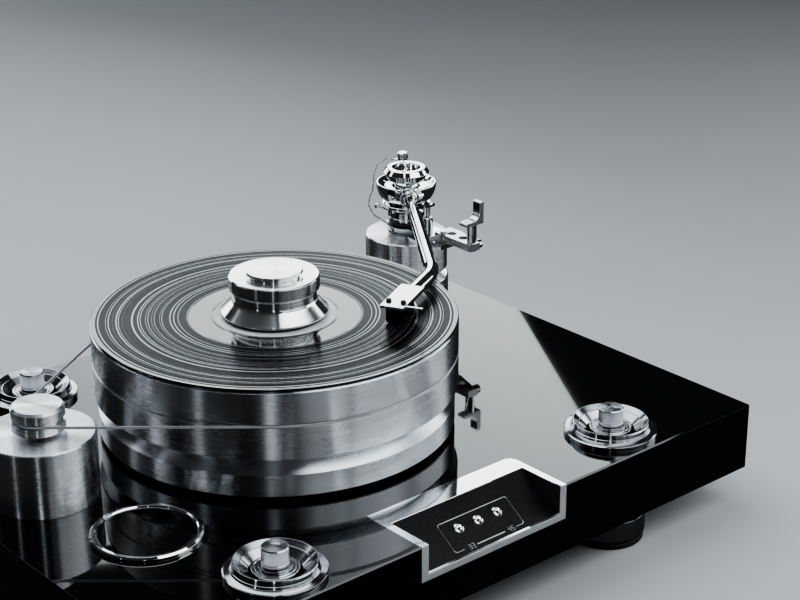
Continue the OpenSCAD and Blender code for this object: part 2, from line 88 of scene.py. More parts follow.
def add_camera():
    """The camera at the photograph's viewing angle."""
    data = bpy.data.cameras.new("camera")
    data.sensor_width = SENSOR_MM
    data.lens = LENS_MM
    data.clip_end = VIEW_END
    camera = bpy.data.objects.new("camera", data)
    scene.collection.objects.link(camera)
    sin_a, cos_a = math.sin(CAMERA_AZIMUTH), math.cos(CAMERA_AZIMUTH)
    sin_e, cos_e = math.sin(CAMERA_ELEVATION), math.cos(CAMERA_ELEVATION)
    ahead = Vector((sin_a * cos_e, cos_a * cos_e, -sin_e))
    level = Vector((cos_a, -sin_a, 0))
    above = level.cross(ahead)
    right = level * math.cos(CAMERA_ROLL) + above * math.sin(CAMERA_ROLL)
    up = above * math.cos(CAMERA_ROLL) - level * math.sin(CAMERA_ROLL)
    turn = Matrix((right, up, -ahead)).transposed().to_4x4()
    camera.matrix_world = Matrix.Translation(CAMERA_AT) @ turn
    scene.camera = camera


add_camera()

# ---------------------------------------------------------------- mesh helpers

SMALLEST_TURN = math.radians(12)
CORNER_STEPS = 3
CORNER_SHARE = 0.42
BEVEL_FROM = math.radians(30)


def new_piece(name, mesh, body, material, replaces=None):
    """Links a finished mesh as a piece that rides on a CAD body."""
    piece = bpy.data.objects.new(name, mesh)
    scene.collection.objects.link(piece)
    normals = piece.modifiers.new("flat_faces", "WEIGHTED_NORMAL")
    normals.mode = "FACE_AREA"
    normals.weight = 100
    normals.keep_sharp = True
    for one in material if isinstance(material, list) else [material]:
        mesh.materials.append(one)
    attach(piece, body)
    if replaces:
        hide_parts(replaces)
    return piece


def finish_mesh(bm, name, sharp=35):
    """Turns the working mesh into a smooth-shaded one; edges over the sharp angle in degrees stay sharp."""
    bmesh.ops.remove_doubles(bm, verts=bm.verts, dist=1e-7)
    bmesh.ops.recalc_face_normals(bm, faces=bm.faces)
    mesh = bpy.data.meshes.new(name)
    bm.to_mesh(mesh)
    bm.free()
    mesh.shade_smooth()
    mesh.set_sharp_from_angle(angle=math.radians(sharp))
    return mesh


def rounded(outline, radius, closed):
    """The outline with every real corner turned into a small arc of at most the given radius."""
    points = [Vector(p) for p in outline]
    count = len(points)
    result = []
    for i, point in enumerate(points):
        if not closed and i in (0, count - 1):
            result.append(point)
            continue
        before, after = points[i - 1] - point, points[(i + 1) % count] - point
        turn = math.pi - before.angle(after, 0)
        if turn < SMALLEST_TURN or radius == 0:
            result.append(point)
            continue
        reach = min(radius * math.tan(turn / 2), CORNER_SHARE * before.length, CORNER_SHARE * after.length)
        start = point + before.normalized() * reach
        end = point + after.normalized() * reach
        for step in range(CORNER_STEPS + 1):
            t = step / CORNER_STEPS
            result.append(start * (1 - t) ** 2 + point * 2 * t * (1 - t) + end * t * t)
    return result


def add_lathe(bm, outline, place, segments, soften):
    """Turns an outline of (radius, height) in millimetres around Z and adds it to the mesh."""
    closed = outline[0][0] > 1e-6
    points = rounded(outline, soften, closed)
    rings = []
    for radius, height in points:
        if radius < 1e-6:
            rings.append([bm.verts.new(place @ Vector((0, 0, height * MM)))])
            continue
        ring = []
        for i in range(segments):
            a = 2 * math.pi * i / segments
            corner = Vector((radius * math.cos(a), radius * math.sin(a), height))
            ring.append(bm.verts.new(place @ (corner * MM)))
        rings.append(ring)
    pairs = list(zip(rings, rings[1:]))
    if closed:
        pairs.append((rings[-1], rings[0]))
    for low, high in pairs:
        for i in range(segments):
            j = (i + 1) % segments
            corners = [low[i % len(low)], low[j % len(low)], high[j % len(high)], high[i % len(high)]]
            unique = list(dict.fromkeys(corners))
            if len(unique) > 2:
                bm.faces.new(unique)


def stand(at, z=0.0, turn=0.0):
    """A place on the deck, turned about the vertical."""
    return Matrix.Translation((at[0], at[1], DECK + z * MM)) @ Matrix.Rotation(turn, 4, "Z")


def turned(name, outline, place, body, material, replaces=None, segments=128, soften=0.25, sharp=35):
    """A turned piece, standing at a place."""
    bm = bmesh.new()
    add_lathe(bm, outline, place, segments, soften)
    return new_piece(name, finish_mesh(bm, name, sharp), body, material, replaces)


def milled(node, body, material, width, segments=2):
    """A CAD node's own shape with its sharp edges broken by a small round."""
    bm = bmesh.new()
    bm.from_mesh(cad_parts[node].data)
    bmesh.ops.remove_doubles(bm, verts=bm.verts, dist=1e-6)
    bmesh.ops.dissolve_limit(bm, angle_limit=math.radians(1), verts=bm.verts, edges=bm.edges)
    edges = [e for e in bm.edges if len(e.link_faces) == 2 and e.calc_face_angle(0) > BEVEL_FROM]
    bmesh.ops.bevel(bm, geom=edges, offset=width * MM, segments=segments, profile=0.6, affect="EDGES",
                    clamp_overlap=True)
    bmesh.ops.triangulate(bm, faces=[f for f in bm.faces if len(f.verts) > 4])
    return new_piece(node + "_shape", finish_mesh(bm, node, 25), body, material, node)


def add_tube(bm, path, radii, sides, cap=True):
    """Sweeps a circle along a path of points in metres; radii in millimetres, one a point."""
    rings = []
    up = Vector((0, 0, 1))
    for i, point in enumerate(path):
        ahead = (path[min(i + 1, len(path) - 1)] - path[max(i - 1, 0)]).normalized()
        side = ahead.cross(up)
        if side.length < 1e-4:
            side = Vector((1, 0, 0))
        side.normalize()
        over = side.cross(ahead).normalized()
        ring = []
        for k in range(sides):
            a = 2 * math.pi * k / sides
            out = side * math.cos(a) + over * math.sin(a)
            ring.append(bm.verts.new(point + out * radii[i] * MM))
        rings.append(ring)
    for low, high in zip(rings, rings[1:]):
        for k in range(sides):
            j = (k + 1) % sides
            bm.faces.new([low[k], low[j], high[j], high[k]])
    if cap:
        bm.faces.new(rings[0])
        bm.faces.new(rings[-1])
    return rings


def add_block(bm, low, high, place):
    """A box between two corners given in millimetres."""
    corners = bmesh.ops.create_cube(bm, size=1)["verts"]
    low, high = Vector(low) * MM, Vector(high) * MM
    for v in corners:
        v.co = place @ Vector([low[k] + (v.co[k] + 0.5) * (high[k] - low[k]) for k in range(3)])
    return corners


# ---------------------------------------------------------------- materials


class Graph:
    """A material under construction."""

    def __init__(self, name, color, metallic, roughness, **constants):
        self.material = bpy.data.materials.new(name)
        self.material.use_nodes = True
        self.tree = self.material.node_tree
        self.bsdf = self.tree.nodes["Principled BSDF"]
        self.bsdf.inputs["Base Color"].default_value = (*color, 1)
        self.bsdf.inputs["Metallic"].default_value = metallic
        self.bsdf.inputs["Roughness"].default_value = roughness
        for key, value in constants.items():
            self.bsdf.inputs[key.replace("_", " ")].default_value = value
        self.coords = self.tree.nodes.new("ShaderNodeTexCoord").outputs["Object"]

    def node(self, kind, *links, **settings):
        made = self.tree.nodes.new(kind)
        for key, value in settings.items():
            setattr(made, key, value)
        for socket, value in links:
            target = made.inputs[socket]
            if isinstance(value, bpy.types.NodeSocket):
                self.tree.links.new(value, target)
            else:
                target.default_value = value
        return made

    def noise(self, scale, detail, vector=None):
        """Cloudy noise over the object's own coordinates, or over the vector given."""
        return self.node("ShaderNodeTexNoise", ("Vector", vector or self.coords), ("Scale", scale),
                         ("Detail", detail), ("Roughness", 0.55)).outputs["Fac"]

    def lines(self, value, scale, detail):
        """Noise along one number, such as a radius."""
        return self.node("ShaderNodeTexNoise", ("W", value), ("Scale", scale), ("Detail", detail),
                         noise_dimensions="1D").outputs["Fac"]

    def span(self, value, low, high, start=0.3, end=0.7):
        """The value's stretch from start to end, mapped to low to high."""
        return self.node("ShaderNodeMapRange", ("Value", value), ("From Min", start), ("From Max", end),
                         ("To Min", low), ("To Max", high)).outputs["Result"]

    def math(self, operation, a, b=0.0):
        made = self.tree.nodes.new("ShaderNodeMath")
        made.operation = operation
        for index, value in enumerate((a, b)):
            if isinstance(value, bpy.types.NodeSocket):
                self.tree.links.new(value, made.inputs[index])
            else:
                made.inputs[index].default_value = value
        return made.outputs[0]

    def offset(self, centre):
        """Coordinates from a vertical axis."""
        made = self.tree.nodes.new("ShaderNodeVectorMath")
        made.operation = "SUBTRACT"
        self.tree.links.new(self.coords, made.inputs[0])
        made.inputs[1].default_value = (centre[0], centre[1], 0)
        return made.outputs[0]

    def radius(self, centre):
        """Distance from a vertical axis."""
        flat = self.tree.nodes.new("ShaderNodeVectorMath")
        flat.operation = "MULTIPLY"
        self.tree.links.new(self.offset(centre), flat.inputs[0])
        flat.inputs[1].default_value = (1, 1, 0)
        length = self.tree.nodes.new("ShaderNodeVectorMath")
        length.operation = "LENGTH"
        self.tree.links.new(flat.outputs[0], length.inputs[0])
        return length.outputs["Value"]

    def height(self):
        return self.node("ShaderNodeSeparateXYZ", ("Vector", self.coords)).outputs["Z"]

    def mix(self, factor, first, second):
        """A colour between two."""
        made = self.tree.nodes.new("ShaderNodeMix")
        made.data_type = "RGBA"
        for socket, value in ((made.inputs[0], factor), (made.inputs[6], first), (made.inputs[7], second)):
            if isinstance(value, bpy.types.NodeSocket):
                self.tree.links.new(value, socket)
            else:
                socket.default_value = value if isinstance(value, float) else (*value, 1)
        return made.outputs[2]

    def drive(self, socket, value):
        self.tree.links.new(value, self.bsdf.inputs[socket])

    def bump(self, height, distance, strength=1.0):
        made = self.node("ShaderNodeBump", ("Height", height), ("Distance", distance),
                         ("Strength", strength))
        self.drive("Normal", made.outputs["Normal"])

    def tangent(self):
        """Turns the surface's own direction round its upright axis."""
        self.drive("Tangent", self.node("ShaderNodeTangent", direction_type="RADIAL", axis="Z").outputs[0])


def turned_metal(name, color, rough, centre, anisotropy, line_scale):
    """Metal finished on a lathe: fine rings around its axis that spread reflections across them."""
    g = Graph(name, color, 1.0, rough, Anisotropic=anisotropy, Anisotropic_Rotation=0.25)
    along = g.math("ADD", g.radius(centre), g.height())
    rings = g.lines(along, line_scale, 4)
    cloud = g.noise(14, 3)
    fine = g.span(rings, rough - 0.01, rough + 0.01)
    g.drive("Roughness", g.math("ADD", fine, g.span(cloud, -0.015, 0.02)))
    low = [c * 0.97 for c in color]
    g.drive("Base Color", g.mix(g.span(g.lines(along, line_scale * 0.4, 3), 0, 1), low, color))
    g.tangent()
    return g.material


def turned_part(name, color, rough, size, anisotropy):
    """Turned metal with its rings around the part's own upright axis, for one that comes several times."""
    g = Graph(name, color, 1.0, rough, Anisotropic=anisotropy, Anisotropic_Rotation=0.25)
    own = g.tree.nodes["Texture Coordinate"].outputs["Generated"]
    shifted = g.node("ShaderNodeVectorMath", operation="SUBTRACT")
    g.tree.links.new(own, shifted.inputs[0])
    shifted.inputs[1].default_value = (0.5, 0.5, 0)
    flat = g.node("ShaderNodeVectorMath", operation="MULTIPLY")
    g.tree.links.new(shifted.outputs[0], flat.inputs[0])
    flat.inputs[1].default_value = (size, size, 0)
    reach = g.node("ShaderNodeVectorMath", operation="LENGTH")
    g.tree.links.new(flat.outputs[0], reach.inputs[0])
    rings = g.lines(g.math("ADD", reach.outputs["Value"], g.height()), 1400, 3)
    fine = g.span(rings, rough - 0.03, rough + 0.04)
    g.drive("Roughness", g.math("ADD", fine, g.span(g.noise(30, 3), -0.01, 0.02)))
    g.drive("Base Color", g.mix(g.span(g.noise(45, 2), 0, 1), [c * 0.95 for c in color], color))
    g.tangent()
    g.bump(rings, 1e-6)
    return g.material


def polished_metal(name, color, rough=0.05):
    """Plated or polished metal with hair scratches and a trace of haze."""
    g = Graph(name, color, 1.0, rough)
    haze = g.noise(60, 4)
    stretched = g.node("ShaderNodeMapping", ("Vector", g.coords), ("Scale", (40, 900, 200)),
                       ("Rotation", (0.3, 0.2, 0.9))).outputs[0]
    scratches = g.noise(1.0, 2, stretched)
    cloud = g.span(haze, rough * 0.6, rough * 1.6)
    g.drive("Roughness", g.math("ADD", cloud, g.span(scratches, 0, 0.02, 0.6, 0.8)))
    g.drive("Base Color", g.mix(g.span(haze, 0, 1), [c * 0.96 for c in color], color))
    g.bump(g.noise(25, 2), 1.2e-5, 0.25)
    return g.material


def bezel_metal():
    """Polished metal whose front face is brushed."""
    g = Graph("bezel_metal", (0.88, 0.89, 0.9), 1.0, 0.05)
    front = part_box("panel_bezel")[0].y
    depth = g.node("ShaderNodeSeparateXYZ", ("Vector", g.coords)).outputs["Y"]
    haze = g.noise(60, 3)
    g.drive("Roughness", g.math("ADD", g.span(depth, 0.5, 0.04, front + 0.0002, front + 0.0006),
                                g.span(haze, -0.01, 0.02)))
    g.drive("Base Color", g.mix(g.span(haze, 0, 1), (0.93, 0.935, 0.94), (0.97, 0.975, 0.98)))
    return g.material


def satin_metal(name, color, rough):
    """Bead-blasted and anodised metal."""
    g = Graph(name, color, 1.0, rough)
    fine = g.noise(2200, 2)
    cloud = g.noise(20, 3)
    grain = g.span(fine, rough - 0.03, rough + 0.03)
    g.drive("Roughness", g.math("ADD", grain, g.span(cloud, -0.02, 0.03)))
    g.drive("Base Color", g.mix(g.span(cloud, 0, 1), [c * 0.95 for c in color], color))
    g.bump(fine, 1e-6, 0.6)
    return g.material


def black_gloss(name, color, rough=0.03):
    """Polished lacquer or ceramic, with the faintest orange peel and dust."""
    g = Graph(name, color, 0.0, rough, Coat_Weight=1.0, Coat_Roughness=0.02, IOR=1.5)
    g.drive("Roughness", g.span(g.noise(9, 4), rough * 0.7, rough * 2.0))
    dust = g.noise(1500, 1)
    specks = g.span(dust, 0, 1, 0.78, 0.82)
    g.drive("Base Color", g.mix(specks, color, [c + 0.02 for c in color]))
    g.bump(g.noise(18, 2), 1e-5, 0.35)
    return g.material


def soft_plastic(name, color, rough, grain=900.0, bump=1.5e-5):
    """Moulded rubber or plastic, paper or ink, with a fine grain."""
    g = Graph(name, color, 0.0, rough)
    fine = g.noise(grain, 3)
    cloud = g.noise(35, 3)
    g.drive("Roughness", g.span(fine, rough - 0.07, rough + 0.09))
    darker, lighter = [c * 0.8 for c in color], [min(1, c * 1.15) for c in color]
    g.drive("Base Color", g.mix(g.span(cloud, 0, 1), darker, lighter))
    g.bump(fine, bump, 0.5)
    return g.material


def vinyl_material(name, grooved):
    """Record vinyl: grooves in fine bands of different gloss, or the smooth run-out inside them."""
    if grooved:
        gloss = {"Anisotropic": 0.8, "IOR": 1.5, "Specular_IOR_Level": 0.15, "Coat_Weight": 0.0}
    else:
        gloss = {"Anisotropic": 0.0, "IOR": 1.85, "Specular_IOR_Level": 0.5, "Coat_Weight": 1.0}
    g = Graph(name, (0.012, 0.012, 0.013), 0.0, 0.25, Anisotropic_Rotation=0.25, Coat_Roughness=0.05,
              **gloss)
    radius = g.radius(SPINDLE)
    if grooved:
        bands = g.lines(radius, 420, 3)
        crests = g.span(g.lines(radius, 620, 2), 0, 1, 0.58, 0.63)
        polish = g.math("MULTIPLY", crests, 0.06)
        g.drive("Roughness", g.math("SUBTRACT", g.span(bands, 0.19, 0.28), polish))
        g.drive("Base Color", g.mix(crests, (0.006, 0.006, 0.007), (0.4, 0.41, 0.42)))
        g.drive("Metallic", g.math("MULTIPLY", crests, 0.8))
        g.tangent()
        g.bump(g.lines(radius, 1300, 1), 1e-6)
    else:
        rings = g.lines(radius, 700, 2)
        g.drive("Roughness", g.span(rings, 0.06, 0.12))
        g.drive("Base Color", g.mix(g.span(rings, 0, 1), (0.006, 0.006, 0.007), (0.02, 0.02, 0.021)))
        g.bump(rings, 1e-6, 0.5)
    return g.material


def wire_material(name, color):
    """The lead wire's woven cover."""
    g = Graph(name, color, 0.0, 0.5, Sheen_Weight=0.3)
    darker, lighter = [c * 0.7 for c in color], [min(1, c * 1.1) for c in color]
    g.drive("Base Color", g.mix(g.noise(1400, 2), darker, lighter))
    g.bump(g.noise(3000, 1), 3e-5, 0.6)
    return g.material


KNOB_D = 0.021
FLANGE_D = 0.077

PIANO = black_gloss("piano_black", (0.0035, 0.0035, 0.004))
CHROME = polished_metal("chrome", (0.95, 0.955, 0.96))
BEZEL_METAL = bezel_metal()
SATIN = satin_metal("satin_aluminium", (0.86, 0.86, 0.87), 0.27)
WHITE_SATIN = satin_metal("white_satin", (0.98, 0.98, 0.98), 0.2)
PLATTER_METAL = turned_metal("platter_metal", (0.78, 0.8, 0.83), 0.27, SPINDLE, 0.97, 240)
CLAMP_METAL = turned_metal("clamp_metal", (0.96, 0.965, 0.97), 0.15, SPINDLE, 0.92, 400)
TOWER_METAL = turned_metal("tower_metal", (0.8, 0.81, 0.83), 0.27, PIVOT, 0.97, 240)
MOTOR_METAL = turned_metal("motor_metal", (0.78, 0.79, 0.81), 0.27, MOTOR, 0.97, 240)
KNOB_METAL = turned_part("knob_metal", (0.55, 0.56, 0.58), 0.2, KNOB_D, 0.95)
FOOT_METAL = turned_part("foot_metal", (0.52, 0.53, 0.55), 0.14, FLANGE_D, 0.9)
FASTENER = polished_metal("fastener_steel", (0.7, 0.71, 0.73), 0.14)
DARK_METAL = polished_metal("dark_metal", (0.22, 0.23, 0.25), 0.16)
RUBBER = soft_plastic("rubber_black", (0.012, 0.012, 0.012), 0.55)
GRIP = soft_plastic("grip_grey", (0.05, 0.05, 0.052), 0.28, 900, 4e-6)
BLACK_PLASTIC = soft_plastic("black_satin", (0.012, 0.012, 0.013), 0.3, 1400, 6e-6)
BELT = soft_plastic("belt_grey", (0.5, 0.51, 0.52), 0.42)
LABEL = soft_plastic("label_paper", (0.84, 0.85, 0.86), 0.38, 500, 4e-6)
VINYL = vinyl_material("vinyl", True)
RUN_OUT = vinyl_material("vinyl_run_out", False)
BRASS = polished_metal("bearing_brass", (0.72, 0.52, 0.25), 0.2)
GILT = polished_metal("gilt", (0.95, 0.72, 0.35), 0.12)
CIRCUIT = soft_plastic("circuit_green", (0.02, 0.12, 0.05), 0.4)
BLACK_METAL = satin_metal("black_metal", (0.05, 0.05, 0.055), 0.35)
CARTRIDGE_BLACK = black_gloss("cartridge_black", (0.006, 0.006, 0.007), 0.08)
INK = soft_plastic("silver_ink", (0.6, 0.61, 0.62), 0.35, 2000, 2e-6)
WIRE_LIGHT = wire_material("wire_light", (0.93, 0.91, 0.93))
WIRE_DARK = wire_material("wire_dark", (0.5, 0.36, 0.47))
CERAMIC = black_gloss("ceramic", (0.85, 0.85, 0.82), 0.05)

# ---------------------------------------------------------------- lead wire

WIRE_HEADING = math.radians(139)
STRAND_R = 0.45
TWIST_PITCH = 0.0105
# The wire's way down from the arm's top to its tower: distance from the pivot, height above the deck
WIRE_FALL = [(11.1, 139), (15, 139.4), (19, 139), (23, 137), (26, 134.6), (28, 131.6), (29.4, 128),
             (30.4, 124), (31, 120), (31.2, 116), (31.6, 112), (32.4, 108), (33.6, 104),
             (35, 100), (35.8, 96), (35.4, 92), (33.8, 88), (31.4, 84), (28, 81), (24.4, 78.6),
             (21, 76.4), (18, 74), (15.6, 71.4), (14, 68.8), (13.5, 66)]


def wire_point(distance, height):
    """A point of the wire's route in the upright plane through the pivot."""
    return Vector((PIVOT[0] + distance * MM * math.cos(WIRE_HEADING),
                   PIVOT[1] + distance * MM * math.sin(WIRE_HEADING), DECK + height * MM))


def smooth_path(points, between):
    """A Catmull-Rom curve through the points."""
    result = []
    for i in range(len(points) - 1):
        a, b, c, d = points[max(i - 1, 0)], points[i], points[i + 1], points[min(i + 2, len(points) - 1)]
        for k in range(between):
            t = k / between
            result.append(0.5 * (2 * b + (c - a) * t + (2 * a - 5 * b + 4 * c - d) * t * t
                                 + (3 * b - a - 3 * c + d) * t ** 3))
    return result + [points[-1]]


def add_lead_wire():
    """Two covered strands twisted round each other."""
    route = [wire_point(*p) for p in WIRE_FALL]
    line = smooth_path(route, 6)
    across = Vector((math.sin(WIRE_HEADING), -math.cos(WIRE_HEADING), 0))
    bm = bmesh.new()
    for strand in range(2):
        travelled, path = 0.0, []
        for i, point in enumerate(line):
            if i:
                travelled += (point - line[i - 1]).length
            ahead = (line[min(i + 1, len(line) - 1)] - line[max(i - 1, 0)]).normalized()
            over = across.cross(ahead)
            a = 2 * math.pi * travelled / TWIST_PITCH + math.pi * strand
            path.append(point + (across * math.cos(a) + over * math.sin(a)) * STRAND_R * MM)
        before = len(bm.faces)
        add_tube(bm, path, [STRAND_R] * len(path), 10)
        bm.faces.ensure_lookup_table()
        for face in bm.faces[before:]:
            face.material_index = strand
    mesh = finish_mesh(bm, "lead_wire_pair", 60)
    piece = bpy.data.objects.new("lead_wire_pair", mesh)
    scene.collection.objects.link(piece)
    mesh.materials.append(WIRE_LIGHT)
    mesh.materials.append(WIRE_DARK)
    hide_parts("lead_wire")
    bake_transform(piece)


add_lead_wire()

# ---------------------------------------------------------------- plinth, base, feet

# Half sections as (radius, height above the deck)
FLANGE = [(19.9, 0), (38.7, 0), (38.7, 3.7), (37.6, 4.4), (33.2, 5.4), (32.9, 7.2), (32.3, 7.5), (31.9, 10.6),
          (31.4, 11.7), (30.6, 11.7), (26.5, 8.4), (25.9, 8.4), (19.9, 3)]
COLUMN = [(0, -89), (30, -89), (32, -87), (32, -70), (31, -69), (17.9, -69), (17.9, 5.4), (17.5, 5.8),
          (16.2, 5.8), (15.8, 5.3), (15.2, 5.3), (14.8, 5.8), (12.2, 5.8), (12.2, 7.5), (5, 7.5), (5, -17),
          (0, -17)]
PAD = [(0, -95), (30, -95), (31, -94), (31, -91), (30.6, -90.5), (31, -90), (31, -89), (0, -89)]
KNOB = [(0, -15), (4.95, -15), (4.95, 7.8), (9.6, 7.8), (10.4, 8.6), (10.4, 10.2), (10.1, 10.5), (10.1, 11),
        (10.4, 11.3), (10.4, 21.9), (9.6, 22.8), (4, 22.8), (3.4, 22.6), (0, 22.6)]

milled("plinth", "root", PIANO, 0.5)
milled("panel_bezel", "root", BEZEL_METAL, 0.3)
for number, at in enumerate(FEET):
    turned(f"foot_flange_{number}", FLANGE, stand(at), "root", FOOT_METAL,
           "foot_flanges", 128, 0.3, 25)
    turned(f"foot_column_{number}", COLUMN, stand(at), "root", FOOT_METAL,
           "foot_legs", 96, 0.25, 25)
    turned(f"foot_pad_{number}", PAD, stand(at), "root", RUBBER, "foot_pads", 96, 0.3)
for knob, at in zip(KNOBS, FEET):
    turned(knob + "_turned", KNOB, stand(at), knob.replace("knob_", "") + "_knob",
           KNOB_METAL, knob, 96, 0.2)
turned("spare_cover_rim", [(38, 0), (43, 0), (43, 2.6), (41.5, 4), (39, 4), (38, 3)], stand(SPARE),
       "root", CHROME, "spare_mount_cover", soften=0.3)
turned("spare_cover_disc", [(0, 0), (38, 0), (38, 2.6), (36, 2.9), (0, 2.9)], stand(SPARE), "root",
       PIANO)

# ---------------------------------------------------------------- platter, record, clamp

PLATTER_TOP = 94.8
BORE_R = 3.63
RECORD_R = 150.8
RECORD_TOP = 96.8
LABEL_R = 50
LABEL_SEAT = 96.9
TRACK_GAPS = (129.5, 112.8, 97.4, 86.6)
GROOVES_FROM = 70.9
GROOVES_TO = 147.3

turned("lower_platter_wheel", [(8, 4.4), (147.3, 4.4), (148.3, 5.4), (148.3, 23.3), (136, 35.6), (134, 35.8),
                               (134, 37.4), (8, 37.4)],
       stand(SPINDLE), "platter", PLATTER_METAL, "lower_platter", 320, 0.35)
turned("upper_platter_wheel", [(8, 37.4), (150.1, 37.4), (PLATTER_R, 38.4), (PLATTER_R, 64.9), (149.9, 64.9),
                               (149.9, 67.9), (PLATTER_R, 67.9), (PLATTER_R, 93.3), (149.6, PLATTER_TOP),
                               (3.6, PLATTER_TOP), (3.6, 60), (8, 60)],
       stand(SPINDLE), "platter", PLATTER_METAL, "upper_platter", 320, 0.3)


def record_outline():
    """Half section of the record: rim bead, tracks with shallow gaps between them, run-out, label seat."""
    top = RECORD_TOP
    outline = [(BORE_R, PLATTER_TOP), (150.4, PLATTER_TOP), (RECORD_R, 95.3), (RECORD_R, 96.7), (150.3, 97.1),
               (149.0, 97.1), (147.4, top)]
    for gap in TRACK_GAPS:
        outline += [(gap + 0.9, top), (gap + 0.5, top - 0.07), (gap - 0.5, top - 0.07), (gap - 0.9, top)]
    return outline + [(71.2, top), (70.6, 96.66), (52.5, 96.66), (51.6, LABEL_SEAT), (BORE_R, LABEL_SEAT)]


record = turned("record_disc", record_outline(), stand(SPINDLE), "platter",
                [VINYL, RUN_OUT], "record", 320, 0.15, 50)
for face in record.data.polygons:
    reach = (face.center.xy - SPINDLE).length / MM
    face.material_index = 0 if GROOVES_FROM <= reach <= GROOVES_TO else 1
turned("record_label_disc", [(BORE_R, LABEL_SEAT), (LABEL_R, LABEL_SEAT), (LABEL_R, 97.03), (49.8, 97.05),
                             (BORE_R, 97.05)],
       stand(SPINDLE), "platter", LABEL, "record_label", 192, 0)

CLAMP_Z = 97.4
CLAMP_PLACE = stand(SPINDLE, CLAMP_Z)
TEETH = 180
TIP_R = 42.5
ROOT_R = 41.7
GRIP_BORE_R = 30
GRIP_H = 2.6


def clamp_grip():
    """The finely toothed rubber ring under the clamp."""
    bm = bmesh.new()
    loops = []
    # Each loop: radius on the odd corners, radius on the even ones, height
    for odd, even, height in ((TIP_R - 0.5, ROOT_R - 0.5, 0), (TIP_R, ROOT_R, 0.4),
                              (TIP_R, ROOT_R, GRIP_H - 0.4), (TIP_R - 0.5, ROOT_R - 0.5, GRIP_H),
                              (GRIP_BORE_R, GRIP_BORE_R, GRIP_H), (GRIP_BORE_R, GRIP_BORE_R, 0)):
        loop = []
        for i in range(2 * TEETH):
            a = math.pi * i / TEETH
            r = odd if i % 2 else even
            corner = Vector((r * math.cos(a), r * math.sin(a), height))
            loop.append(bm.verts.new(CLAMP_PLACE @ (corner * MM)))
        loops.append(loop)
    for low, high in zip(loops, loops[1:] + loops[:1]):
        for i in range(2 * TEETH):
            j = (i + 1) % (2 * TEETH)
            bm.faces.new([low[i], low[j], high[j], high[i]])
    return new_piece("clamp_grip_teeth", finish_mesh(bm, "clamp_grip_teeth", 20), "clamp",
                     GRIP, "clamp_grip_ring")


clamp_grip()
turned("clamp_foot", [(3.65, 0), (30, 0), (30, 2.6), (43.8, 2.6), (44.3, 3.1), (44.3, 4.1), (43.4, 5.0),
                      (37.4, 11.6), (35.9, 13.4), (35.1, 15), (34.9, 16.5), (34.9, 21.5), (3.65, 21.5)],
       CLAMP_PLACE, "clamp", CLAMP_METAL, "clamp_base", 256, 0.3, 25)
turned("clamp_disc", [(3.65, 21.5), (35, 21.5), (37.5, 24), (37.5, 33.5), (36.5, 34.5), (0, 34.5), (0, 30.6),
                      (3.65, 30.6)], CLAMP_PLACE, "clamp", CLAMP_METAL, "clamp_top",
       256, 0.3, 25)
turned("clamp_button_disc", [(0, 34.5), (21, 34.5), (21, 36.7), (24, 36.7), (24, 38.8), (23.6, 39.2),
                             (0, 39.2)],
       CLAMP_PLACE, "clamp", CLAMP_METAL, "clamp_button", 192, 0.25, 25)

# ---------------------------------------------------------------- motor

turned("motor_tower", [(40, 0), (44, 0), (44, 53), (43, 54), (8.5, 54), (8.5, 50), (40, 50)],
       stand(MOTOR), "root", MOTOR_METAL, "motor_housing", 192, 0.5)
turned("motor_pulley_wheel", [(0, 1), (2, 1), (2, 57), (20, 57), (21, 58), (21, 64.4), (19.2, 64.9),
                              (19.2, 67.9), (21, 68.4), (21, 75), (19, 77), (0, 77)],
       stand(MOTOR), "motor_pulley", MOTOR_METAL, "pulley", 128, 0.3)

# ---------------------------------------------------------------- tonearm tower

ARM = stand(PIVOT)
turned("arm_base_turning", [(6, 0), (40.5, 0), (40.5, 23.5), (39.5, 24.5), (6, 24.5)],
       ARM, "root", WHITE_SATIN, "arm_base_disc", 192, 0.5)
turned("arm_neck_turning", [(6, 24.5), (30, 24.5), (30, 32), (6, 32)],
       ARM, "root", TOWER_METAL, "arm_neck", 160, 0.3)
turned("arm_tower_turning", [(6, 32), (38.4, 32), (39.2, 32.8), (39.2, 65.2), (38.4, 66), (6, 66)],
       ARM, "root", TOWER_METAL, "arm_tower", 192, 0.4)
milled("arm_mount_bar", "root", CHROME, 0.35)
turned("arm_collar_turning", [(13.5, 74), (16.6, 74), (16.6, 77.4), (16, 78), (13.5, 78)],
       ARM, "root", BLACK_PLASTIC, "arm_collar_ring", 96, 0.2)
turned("arm_pillar_turning", [(4.05, 74), (13.5, 74), (13.5, 80), (16.2, 80), (16.6, 80.4), (16.6, 82.6),
                              (16.2, 83), (13.5, 83), (13.5, 91.2), (18.4, 91.2), (18.8, 91.5), (18.8, 91.9),
                              (18.4, 92.2), (4.05, 92.2)],
       ARM, "root", CHROME, "arm_pillar", 128, 0.15)
milled("rest_bracket", "root", SATIN, 0.35)
milled("rest_cradle", "root", SATIN, 0.6, 3)


def cradle_pad_and_slot_shade():
    """The black pad on the inner side of the cradle's horn, and a thin black strip of painted shade where the
    slot in its foot is.
    """
    bm = bmesh.new()
    place = ARM @ Matrix.Translation((5 * MM, -86.5 * MM, 95.6 * MM))
    add_block(bm, (5.3, -4.1, 13), (5.66, 4.1, 20), place)
    # A thin black strip on the foot: painted shade standing for the dark gap of a slot
    add_block(bm, (-8.6, -0.5, 3.7), (-2.4, 0.5, 4.04), place)
    new_piece("cradle_pad_and_painted_slot_shade", finish_mesh(bm, "cradle_pad_and_painted_slot_shade", 30), "root", RUBBER)


cradle_pad_and_slot_shade()
milled("cue_lift", "lift_bar", CHROME, 0.25)
milled("cue_lever", "lift_lever", CHROME, 0.15)

# ---------------------------------------------------------------- tonearm moving pieces

